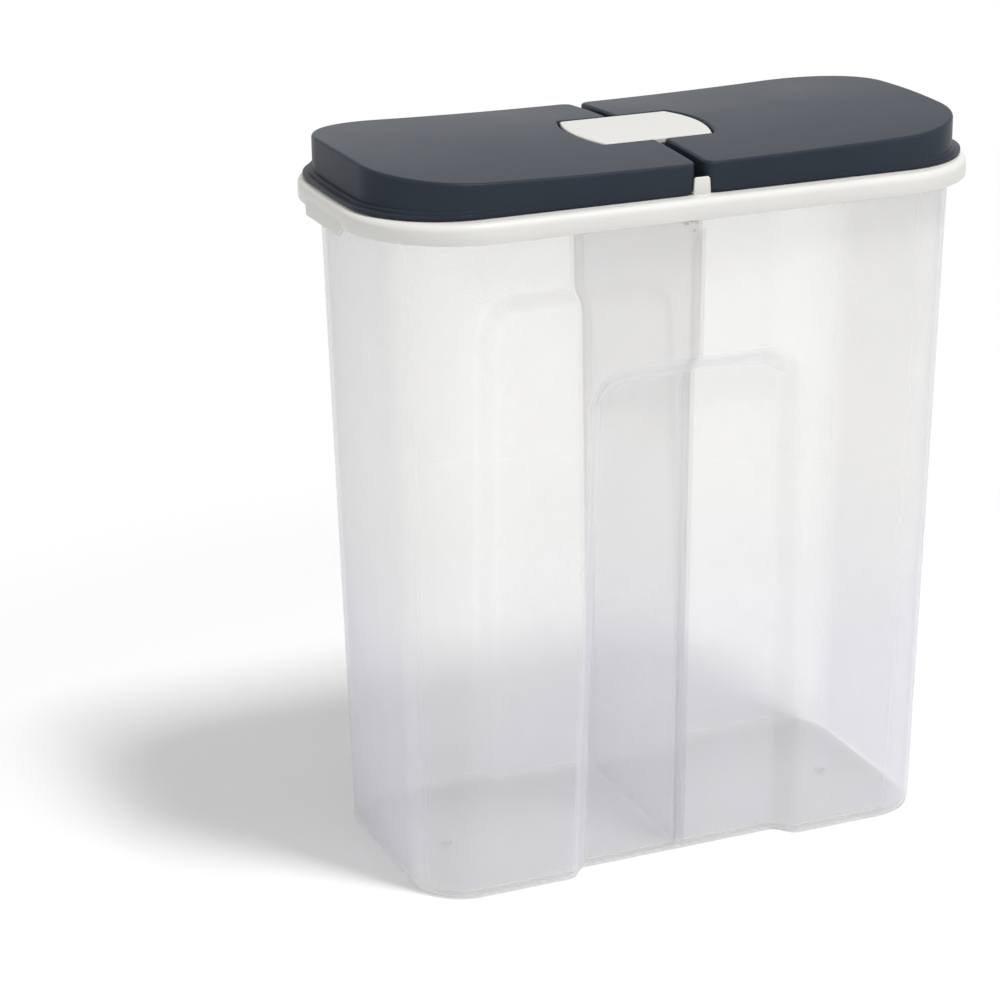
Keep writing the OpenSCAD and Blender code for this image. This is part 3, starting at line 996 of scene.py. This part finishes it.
@dataclass(frozen=True)
class LidFrame:
    """The white frame that is pushed on the tub: deck, skirt, pouring rims, cradle and posts."""

    sizes: LidSizes
    length: float = 250.0
    width: float = 126.0
    corner: float = 43.0
    skirt_height: float = 7.6
    skirt_wall: float = 1.8
    top_round: float = 2.8
    rim_wall: float = 1.6
    rim_height: float = 4.0
    rim_edge: float = 0.5
    tab_width: float = 33.0
    tab_drop: float = 3.2
    tab_slant: float = 3.5
    tab_flare: float = 0.9
    seal_drop: float = 6.0
    seal_wall: float = 1.4
    seal_edge: float = 0.4
    seal_length: float = 224.0
    seal_width: float = 110.0
    seal_corner: float = 26.0
    web_wall: float = 1.4
    web_drop: float = 11.0
    web_place: float = 2.1
    post_width: float = 7.0
    post_height: float = 6.4
    post_depth: float = 1.2
    cradle_half: float = 10.5
    cradle_end: float = 2.0

    def deck(self, draft: MeshDraft) -> None:
        """Adds the skirt and the deck with its two openings as one closed skin.

        Args:
            draft: The frame's mesh.
        """
        s, wall = self.sizes, self.skirt_wall
        base = spaced(rounded_rect(self.length, self.width, self.corner, 32), 6)
        normal = outward(base)
        low = s.deck_top - self.skirt_height
        rows = [(wall, s.deck_low), (wall, low + 0.3), (wall - 0.3, low)]
        rows += [(0.4, low), (0.1, low + 0.15), (0.0, low + 0.45)]
        rows += [(inset, s.deck_top - drop) for inset, drop in rounding(self.top_round, 9)]
        rows += [(self.top_round + 0.6, s.deck_top)]
        loops = draft.rails([lifted(base - normal * inset, z) for inset, z in rows])
        under, over = [loops[0]], [loops[-1]]
        for side in Side:
            plan = s.mouth(self.rim_wall / 2, side)
            high, deep = draft.rails([lifted(plan, s.deck_top), lifted(plan, s.deck_low)])
            over.append(high)
            under.append(deep)
        draft.fill(over, True)
        draft.fill(under, False)

    def rims(self, draft: MeshDraft, finish: Material) -> None:
        """Adds the upright rims round the openings and the sealing wall inside the tub.

        Args:
            draft: The frame's mesh.
            finish: The frame's material.
        """
        s, sweep, root = self.sizes, SweptRim(), 0.6
        tall = self.rim_height + s.deck_top - s.deck_low
        loops = [lifted(s.mouth(self.rim_wall / 2, side), s.deck_low + tall / 2) for side in Side]
        draft.absorb(sweep.build(loops, self.rim_wall, tall, self.rim_edge, finish))
        depth = self.seal_drop + root
        length, width = self.seal_length - self.seal_wall, self.seal_width - self.seal_wall
        loop = spaced(rounded_rect(length, width, self.seal_corner, 24), 8)
        loops = [lifted(loop, s.deck_low + root - depth / 2)]
        draft.absorb(sweep.build(loops, self.seal_wall, depth, self.seal_edge, finish))

    def cradle(self, draft: MeshDraft) -> None:
        """Adds the cradle's two cheeks with U-shaped pin seats, and its end walls.

        Args:
            draft: The frame's mesh.
        """
        s = self.sizes
        half, low, top = self.cradle_half, s.deck_top - 0.3, s.cover_low
        seat = s.pin_radius + s.pin_clearance
        outline = [[-half, low], [half, low], [half, top]]
        for x in (s.hinge_offset, -s.hinge_offset):
            outline += [[x + seat, top], *arc(x, s.axis_z, seat, 0, -180, 16), [x - seat, top]]
        outline += [[-half, top]]
        middle = s.cheek_out - s.cheek / 2
        wall = np.array([[-middle, low], [middle, low], [middle, top], [-middle, top]])
        for sign in (-1, 1):
            draft.plate(np.array(outline), s.cheek, 0.2, shifted(along_y, y=sign * middle))
            end = shifted(along_x, x=sign * (half - self.cradle_end / 2))
            draft.plate(wall, self.cradle_end, 0.3, end)

    def posts(self, draft: MeshDraft) -> None:
        """Adds the thin posts that fill the notches between the flaps' corners.

        Args:
            draft: The frame's mesh.
        """
        s = self.sizes
        half, low, top = self.post_width / 2, s.deck_top - 0.3, s.deck_top + self.post_height
        right = [[half, low], [half - 0.4, top - 0.6], [half - 1.0, top]]
        left = [[1.0 - half, top], [0.4 - half, top - 0.6]]
        outline = spaced(np.array([[-half, low], *right, *left]), 4)
        gusset = np.array([[0, low], [3.5, low], [0, s.deck_top + 4]])
        for sign in (-1, 1):
            face = s.flap_width / 2
            out = shifted(along_y, y=sign * (face - self.post_depth / 2))
            draft.plate(outline, self.post_depth, 0.35, out)
            rows = gusset if sign < 0 else gusset[::-1] * [-1, 1]
            draft.plate(rows, 1.2, 0.2, shifted(along_x, y=sign * (face - self.post_depth)))

    def tabs(self, draft: MeshDraft) -> None:
        """Adds the lift tabs: the skirt reaches lower and flares at each short end.

        Args:
            draft: The frame's mesh.
        """
        low = self.sizes.deck_top - self.skirt_height
        half, drop, slant = self.tab_width / 2, self.tab_drop, self.tab_slant
        corners = [[-half - slant, low + 1], [-half, low - drop], [half, low - drop], [half + slant, low + 1]]
        plan = spaced(np.array([*corners, [half, low + 3], [-half, low + 3]]), 4)
        face = self.length / 2 - self.skirt_wall / 2 - 0.02
        for sign in (-1, 1):

            def flare(rows: np.ndarray, sign: int = sign) -> np.ndarray:
                """Stands a tab at the end of the skirt, leaning outwards.

                Args:
                    rows: The drawn tab.
                    sign: The end it stands at, -1 or 1.

                Returns:
                    The placed rows.
                """
                placed = along_x(rows)
                out = np.clip((low + 3 - placed[:, 2]) / (drop + 3), 0, 1) ** 2 * self.tab_flare
                placed[:, 0] += sign * (face + out)
                return placed

            draft.plate(plan, self.skirt_wall, 0.45, flare)

    def webs(self, draft: MeshDraft) -> None:
        """Adds the two webs that straddle the divider's top edge.

        Args:
            draft: The frame's mesh.
        """
        half = self.seal_width / 2 - 6
        low, high = self.sizes.deck_low - self.web_drop, self.sizes.deck_low + 0.5
        rows = np.array([[-half, low], [half, low], [half, high], [-half, high]])
        for sign in (-1, 1):
            draft.plate(rows, self.web_wall, 0.3, shifted(along_x, x=sign * self.web_place))

    def build(self, finish: Material) -> Object:
        """Makes the whole frame.

        Args:
            finish: Its material.

        Returns:
            The frame.
        """
        draft = MeshDraft()
        self.deck(draft)
        self.rims(draft, finish)
        for add in (self.cradle, self.posts, self.tabs, self.webs):
            add(draft)
        return draft.finished("lid_frame_moulding", finish)


@dataclass(frozen=True)
class HingeCover:
    """The white plate between the flaps that closes the hinge cradle."""

    sizes: LidSizes
    edge: float = 0.7
    low_edge: float = 0.3
    corner: float = 1.8
    plug_length: float = 16.7
    plug_width: float = 32.0
    plug_drop: float = 6.7

    def outline(self) -> Plan:
        """Draws its plan: straight long sides, convex ends, softened corners.

        Returns:
            The outline.
        """
        half = self.sizes.cover_width / 2
        centre, radius = self.sizes.cover_end(0.0)
        reach = math.degrees(math.asin((half - self.corner) / radius))
        end = arc(centre, 0, radius, -reach, 2 * reach, 24)
        corner = arc(end[-1][0] - self.corner, half - self.corner, self.corner, 10, 80, 5)[1:]
        right = np.concatenate([corner[::-1] * [1, -1], end, corner])
        return spaced(np.concatenate([right, right[::-1] * [-1, 1]]), 3)

    def build(self, finish: Material) -> Object:
        """Makes the crowned plate and the plug under it.

        Args:
            finish: Its material.

        Returns:
            The plate.
        """
        s, e = self.sizes, self.low_edge
        draft = MeshDraft()
        plan = self.outline()
        normal = outward(plan)

        def crown(x: np.ndarray, y: np.ndarray) -> np.ndarray:
            """Height of the plate's top, crowned across as the flaps are at the hinges."""
            return s.top_z(np.zeros_like(x), y)

        rings = [lifted(plan - normal * e, s.cover_low), lifted(plan, s.cover_low + e)]
        for inset, drop in (*rounding(self.edge, 6), (self.edge + 0.4, 0.0)):
            shape = plan - normal * inset
            rings.append(lifted(shape, crown(shape[:, 0], shape[:, 1]) - drop))
        loops = draft.rails(rings)
        draft.fill([loops[0]], False)
        draft.fill([loops[-1]], True, crown, 3.0)
        plug = rounded_rect(self.plug_length, self.plug_width, 1.0, 4)
        low, high = s.cover_low - self.plug_drop + 0.2, s.cover_low + 0.3
        skirt = draft.rails([lifted(plug, low), lifted(plug, high)])
        draft.fan(skirt[0], (0, 0, low), False)
        draft.fan(skirt[1], (0, 0, high), True)
        return draft.finished("hinge_cover_plate", finish)


@dataclass(frozen=True)
class Flap:
    """One dark pouring flap: crowned top, stepped finger lip, notch for the hinge cover."""

    sizes: LidSizes
    side: Side
    corner: float = 36.0
    gap_corner: float = 4.5
    gap: float = 3.7
    wall: float = 1.8
    inner_round: float = 0.8
    end_bow: float = 0.4
    top_round: float = 1.2
    toe_round: float = 1.5
    foot_round: float = 0.4
    tongue_round: float = 1.7
    notch_round: float = 0.8
    notch_side: float = 0.45
    notch_end: float = 1.0
    notch_lift: float = 1.2
    lip_reach: float = 4.0
    lip_step: float = 1.3
    lip_edge: float = 0.3
    plug_play: float = 0.8
    plug_wall: float = 1.5

    def outline(self, inset: float = 0.0) -> Plan:
        """Draws the right flap's plan, anticlockwise from the middle of its outer end.

        Args:
            inset: How far the plan is pulled in from the wall's outside.

        Returns:
            The plan, with the same number of points for any inset.
        """
        s = self.sizes
        near, far, half = self.gap / 2 + inset, s.flap_reach - inset, s.flap_width / 2 - inset
        ro, ri = self.corner - inset, max(0.4, self.gap_corner - inset)
        rt, rn = max(0.25, self.tongue_round - inset), self.notch_round
        flat = half - ro
        ys = np.linspace(0, flat, 6)[:-1]
        notch = s.cover_width / 2 + self.notch_side + inset
        centre, radius = s.cover_end(self.notch_end)
        fillet_y = notch - inset - rn
        fillet_x = centre + math.sqrt((radius - rn) ** 2 - fillet_y**2)
        turn = math.degrees(math.asin(fillet_y / (radius - rn)))
        half_plan = np.concatenate([
            np.stack([far - self.end_bow * (ys / flat) ** 2, ys], axis=1),
            arc(far - self.end_bow - ro, half - ro, ro, 0, 90, 28),
            between((far - self.end_bow - ro, half), (near + ri, half), 20),
            arc(near + ri, half - ri, ri, 90, 90, 10),
            between((near, half - ri), (near, notch + rt), 9),
            arc(near + rt, notch + rt, rt, 180, 90, 7),
            between((near + rt, notch), (fillet_x, notch), 7),
            arc(fillet_x, fillet_y, rn + inset, 90, turn - 90, 6),
            arc(centre, 0, radius + inset, turn, -turn, 10)[1:],
        ])
        return np.concatenate([half_plan, half_plan[1:-1][::-1] * [1, -1]])

    def reached(self, plan: Plan, reach: float) -> Plan:
        """Draws the plan out towards the finger lip.

        Args:
            plan: The plan.
            reach: How far its outer end moves.

        Returns:
            The longer plan.
        """
        start, end = self.sizes.flap_reach / 5, self.sizes.flap_reach
        share = np.maximum(0.0, plan[:, 0] - start) / (end - start)
        return np.column_stack([plan[:, 0] + reach * share, plan[:, 1]])

    def shell(self, draft: MeshDraft) -> None:
        """Adds the flap's skin: inside, foot, toe, lip, wall, rounded edge, crowned top.

        Args:
            draft: The flap's mesh.
        """
        s, e, step, tread = self.sizes, self.lip_edge, self.lip_step, self.lip_reach / 2
        plan = self.outline()
        normal = outward(plan)
        x, y = plan[:, 0], np.abs(plan[:, 1])
        # The toe is rounder at the gap, where it turns past the deck, and higher in the notch.
        near = np.clip(1 - (x - self.gap / 2 - 1.7) / 5, 0, 1)
        foot = s.flap_low + self.notch_lift * smooth_step((24.0 - y) / 2.5) * (x < 40)
        toe = self.foot_round + (self.toe_round - self.foot_round) * near
        rings = [s.under_top(self.outline(self.wall + self.inner_round + 0.4), self.wall)]
        for inset, drop in rounding(self.inner_round, 5)[::-1]:
            rings.append(s.under_top(self.outline(self.wall + inset), self.wall + drop))
        rings.append(lifted(self.outline(self.wall), foot + 0.1))
        for up, pull in rounding(toe, 4):
            rings.append(lifted(self.reached(plan - normal * pull[:, None], self.lip_reach), foot + up))
        # The lip goes in by two treads, each with a softened edge.
        lip = [(self.lip_reach, -e), (self.lip_reach - 0.1, -0.1), (self.lip_reach - e, 0.0)]
        lip += [(tread + 0.15, 0.13), (tread, 0.3), (tread, step - e), (tread - 0.1, step - 0.1)]
        lip += [(tread - e, step), (0.15, step + 0.15), (0.0, step + 0.4)]
        for reach, up in lip:
            level = s.flap_low + self.toe_round + up + 0.001
            rings.append(lifted(self.reached(plan, reach), np.maximum(level, foot + toe + 0.05 + up * 0.1)))
        for inset, drop in (*rounding(self.top_round, 7), (self.top_round + 0.4, 0.0)):
            rings.append(s.under_top(self.outline(inset), drop))
        loops = draft.rails(rings)
        draft.fill([loops[-1]], True, s.top_z, 4.0)
        draft.fill([loops[0]], False, lambda gx, gy: s.top_z(gx, gy) - self.wall, 4.0)

    def plug(self, draft: MeshDraft) -> None:
        """Adds the rim that goes down inside the pouring opening.

        Args:
            draft: The flap's mesh.
        """
        s = self.sizes
        outer = s.mouth(-self.plug_play, Side.RIGHT, 4.0)
        inward = -outward(outer) * self.plug_wall
        low = s.deck_top - 1
        profile = [(1, low + 0.3), (0.8, low), (0.2, low), (0, low + 0.3)]
        rings = [lifted(outer + inward * t, z) for t, z in profile]
        rings += [s.under_top(outer + inward * t, self.wall / 2) for t in (0, 1)]
        draft.rails(rings, closed=True)

    def build(self, finish: Material) -> Object:
        """Makes the flap with its hinge pins, turned round for the left side.

        Args:
            finish: Its material.

        Returns:
            The flap.
        """
        s = self.sizes
        draft = MeshDraft()
        self.shell(draft)
        self.plug(draft)
        outer = s.cover_width / 2 + self.notch_side + 1.0
        middle, length = (outer + s.pin_inner) / 2, outer - s.pin_inner
        places = np.array([[s.hinge_offset, sign * middle, s.axis_z] for sign in (-1, 1)])
        draft.absorb(PinSet().build(places, s.pin_radius, length, finish))
        if self.side is Side.LEFT:
            draft.points = [(-x, -y, z) for x, y, z in draft.points]
        return draft.finished(f"flap_{self.side.name.lower()}_moulding", finish)


# ---- Studio ----


@dataclass(frozen=True)
class Softbox:
    """A rectangular lamp that looks at the middle of the object; sizes in metres, power in watts."""

    name: str
    place: tuple[float, float, float]
    size: tuple[float, float]
    power: float
    aim: tuple[float, float, float] = (0.0, 0.0, 0.15)

    def hang(self) -> None:
        """Adds the lamp to the scene."""
        data = bpy.data.lights.new(self.name, "AREA")
        data.shape = "RECTANGLE"
        data.size, data.size_y = self.size
        data.energy = self.power
        item = bpy.data.objects.new(self.name, data)
        item.location = self.place
        item.rotation_euler = (Vector(self.aim) - Vector(self.place)).to_track_quat("-Z", "Y").to_euler()
        bpy.context.scene.collection.objects.link(item)


@dataclass(frozen=True)
class Studio:
    """Pale floor, soft light and the photograph's camera."""

    target: tuple[float, float, float] = (-66.222, -22.734, 148.902)
    azimuth: float = -22.677
    elevation: float = 19.752
    roll: float = -0.662
    distance: float = 1118.639
    lens: float = 107.268
    floor_size: float = 8000.0
    floor_gap: float = 0.2
    horizon: float = 0.8
    zenith: float = 0.52
    key: Softbox = Softbox("key_softbox", (0.24, -0.51, 1.6), (0.22, 0.36), 16.0)
    fill: Softbox = Softbox("front_fill", (-0.7, -2.2, 0.75), (1.4, 1.4), 4.5)

    def camera(self) -> None:
        """Sets up the camera from the angles that were fitted to the photograph."""
        az, el, roll = (math.radians(a) for a in (self.azimuth, self.elevation, self.roll))
        back = Vector((math.sin(az) * math.cos(el), -math.cos(az) * math.cos(el), math.sin(el)))
        place = Vector(self.target) + back * self.distance
        right = Vector((0, 0, 1)).cross(back).normalized()
        turn = Matrix((right, back.cross(right), back)).transposed().to_4x4()
        data = bpy.data.cameras.new("photo_camera")
        data.lens = self.lens
        data.sensor_width = 36.0
        data.clip_start = 0.05
        data.clip_end = 50.0
        view = bpy.data.objects.new("photo_camera", data)
        view.matrix_world = Matrix.Translation(place * MM) @ turn @ Matrix.Rotation(roll, 4, "Z")
        bpy.context.scene.collection.objects.link(view)
        bpy.context.scene.camera = view

    def background_rays(self, tree: NodeTree) -> Link:
        """Tells the rays that find the white background from those that only light the object.

        Args:
            tree: The tree that gets the nodes.

        Returns:
            What is 1 for camera, glossy and transmission rays.
        """
        path = add_node(tree, "ShaderNodeLightPath", {}, {})
        seen = (path, "Is Camera Ray")
        for kind in ("Is Transmission Ray", "Is Glossy Ray"):
            either = {0: seen, 1: (path, kind)}
            seen = (add_node(tree, "ShaderNodeMath", {"operation": "MAXIMUM"}, either), "Value")
        return seen

    def floor(self) -> None:
        """Lays the pale floor, which keeps the object's shadow and is white farther out where it is seen."""
        material, tree, output = new_material("studio_floor")
        place = add_node(tree, "ShaderNodeTexCoord", {}, {})
        reach = add_node(tree, "ShaderNodeVectorMath", {"operation": "LENGTH"}, {0: (place, "Object")})
        fade = add_range(tree, (reach, "Value"), (0.27, 0.44), eased=True)
        seen = self.background_rays(tree)
        paint = (add_node(tree, "ShaderNodeBsdfDiffuse", {"Color": linear("FCFCFC")}, {}), "BSDF")
        white = add_node(tree, "ShaderNodeEmission", {"Color": (1, 1, 1, 1), "Strength": 1.0}, {})
        layers = {0: (fade, "Result"), 1: paint, 2: (white, "Emission")}
        far = add_node(tree, "ShaderNodeMixShader", {}, layers)
        both = add_node(tree, "ShaderNodeMixShader", {}, {0: seen, 1: paint, 2: (far, "Shader")})
        tree.links.new(both.outputs["Shader"], output.inputs["Surface"])
        mesh = bpy.data.meshes.new("studio_floor")
        h = self.floor_size / 2 * MM
        mesh.from_pydata([(-h, -h, 0), (h, -h, 0), (h, h, 0), (-h, h, 0)], [], [(0, 1, 2, 3)])
        mesh.materials.append(material)
        item = bpy.data.objects.new("studio_floor", mesh)
        item.location.z = -self.floor_gap * MM
        bpy.context.scene.collection.objects.link(item)

    def world(self) -> None:
        """Sets a soft world that is lighter near the horizon, and white where it is seen."""
        world = bpy.data.worlds.new("studio_world")
        bpy.context.scene.world = world
        world.use_nodes = True
        tree = world.node_tree
        tree.nodes.clear()
        place = add_node(tree, "ShaderNodeTexCoord", {}, {})
        split = add_node(tree, "ShaderNodeSeparateXYZ", {}, {"Vector": (place, "Generated")})
        height = add_range(tree, (split, "Z"), (0.05, 0.65), (self.horizon, self.zenith), eased=True)
        light = {"Strength": (height, "Result")}
        dim = add_node(tree, "ShaderNodeBackground", {"Color": (1, 1, 1, 1)}, light)
        white = add_node(tree, "ShaderNodeBackground", {"Color": (1, 1, 1, 1), "Strength": 1.0}, {})
        layers = {0: self.background_rays(tree), 1: (dim, "Background"), 2: (white, "Background")}
        both = add_node(tree, "ShaderNodeMixShader", {}, layers)
        add_node(tree, "ShaderNodeOutputWorld", {}, {"Surface": (both, "Shader")})

    def build(self) -> None:
        """Sets up everything that isn't the object."""
        bpy.context.scene.view_settings.view_transform = "Standard"
        self.camera()
        self.floor()
        self.world()
        self.key.hang()
        self.fill.hang()


# ---- Assembly ----


def place_piece(item: Object, body: str, node: str) -> None:
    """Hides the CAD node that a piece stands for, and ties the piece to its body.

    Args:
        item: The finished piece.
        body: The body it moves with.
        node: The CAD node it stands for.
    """
    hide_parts(node)
    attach(item, body)
    LOG.info("%s rides on %s", item.name, body)


def main() -> None:
    """Builds every moulding in order, then the studio."""
    logging.basicConfig(level=logging.INFO, format="%(message)s")
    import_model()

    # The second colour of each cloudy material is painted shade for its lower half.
    cloudy = NaturalPolypropylene("natural_polypropylene_tub", "FFFEFB", "F6F5FA", 0.16, 0.7)
    cloudy_wall = NaturalPolypropylene("natural_polypropylene_divider", "F7F5F6", "F0EFF6", 0.15, 0.6)
    white = SatinPolypropylene("satin_white_polypropylene", "D5D4D0", "DAD9D5", 0.25)
    # The plate's white is a darker copy of the frame's: painted shade that keeps its top, which faces the
    # lamps, from rendering brighter than the frame.
    shaded_plate_white = SatinPolypropylene("satin_white_polypropylene_plate_painted_shade", "CAC9C5", "CECDC9", 0.25)
    anthracite = SatinPolypropylene("satin_anthracite_polypropylene", "2A3039", "30363F", 0.07).material()

    tub = Tub()
    sizes = LidSizes()
    place_piece(tub.build(cloudy.material()), "container", "tub")
    place_piece(Divider(tub).build(cloudy_wall.material()), "container", "divider")
    place_piece(LidFrame(sizes).build(white.material()), "lid", "lid_frame")
    place_piece(HingeCover(sizes).build(shaded_plate_white.material()), "lid", "hinge_cover")
    for side in Side:
        name = side.name.lower()
        place_piece(Flap(sizes, side).build(anthracite), f"{name}_flap", f"flap_{name}")

    Studio().build()


if __name__ == "__main__":
    main()
